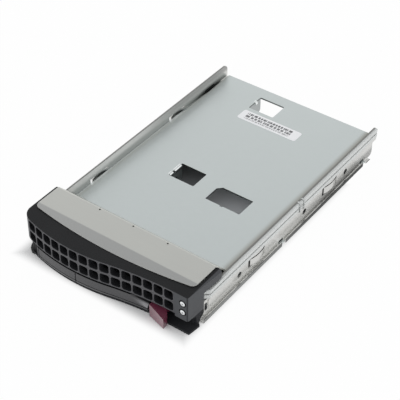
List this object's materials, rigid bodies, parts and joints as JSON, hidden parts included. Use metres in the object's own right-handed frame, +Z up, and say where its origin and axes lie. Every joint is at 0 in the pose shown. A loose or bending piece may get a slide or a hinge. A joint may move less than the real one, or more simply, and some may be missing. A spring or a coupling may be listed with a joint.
{
  "type": "drive tray adapter",
  "caption": "Hot-swap drive tray for a wide bay, with a grille bezel, hinged lever and release button, side rails and a folded plate that carries a smaller drive underneath.",
  "frame": {"origin": "on the underside, in the middle of the tray's length and width", "axes": "+Y from the bezel to the connector end, +X to the right as seen from the front, +Z up"},
  "size_m": [0.1078, 0.1842, 0.0249],
  "materials": {
    "bezel_plastic": "fine-grained charcoal moulding",
    "cover_steel": "satin stainless sheet",
    "rail_steel": "bright stainless sheet",
    "plate_steel": "smooth galvanised sheet",
    "label_paper": "matt white label with plain grey bars",
    "lever_plastic": "dark grey moulding",
    "spring_steel": "drawn wire",
    "pin_steel": "ground pin",
    "button_plastic": "maroon moulding",
    "pipe_plastic": "clear moulding",
    "clip_plastic": "natural white moulding"
  },
  "bodies": {
    "tray": {"front_bezel": "bezel_plastic", "front_cover": "cover_steel", "adapter_plate": "plate_steel", "plate_label": "label_paper", "right_rail": "rail_steel", "left_rail": "rail_steel", "lever_pin": "pin_steel", "lever_spring": "spring_steel", "button_spring": "spring_steel", "lower_light_pipe": "pipe_plastic", "upper_light_pipe": "pipe_plastic", "light_pipe_clip": "clip_plastic"},
    "lever": {"handle_lever": "lever_plastic"},
    "button": {"release_button": "button_plastic"}
  },
  "joints": [
    {"name": "lever_hinge", "type": "hinge", "parent": "tray", "child": "lever", "pos_m": [-0.0453, -0.08288, 0.005], "axis": [0, 0, -1], "range_deg": [0, 60]},
    {"name": "button_slide", "type": "slide", "parent": "tray", "child": "button", "axis": [1, 0, 0], "range_m": [0, 0.003], "stiffness_N_per_m": 300, "springref_m": -0.002, "deforming": ["button_spring"]}
  ]
}
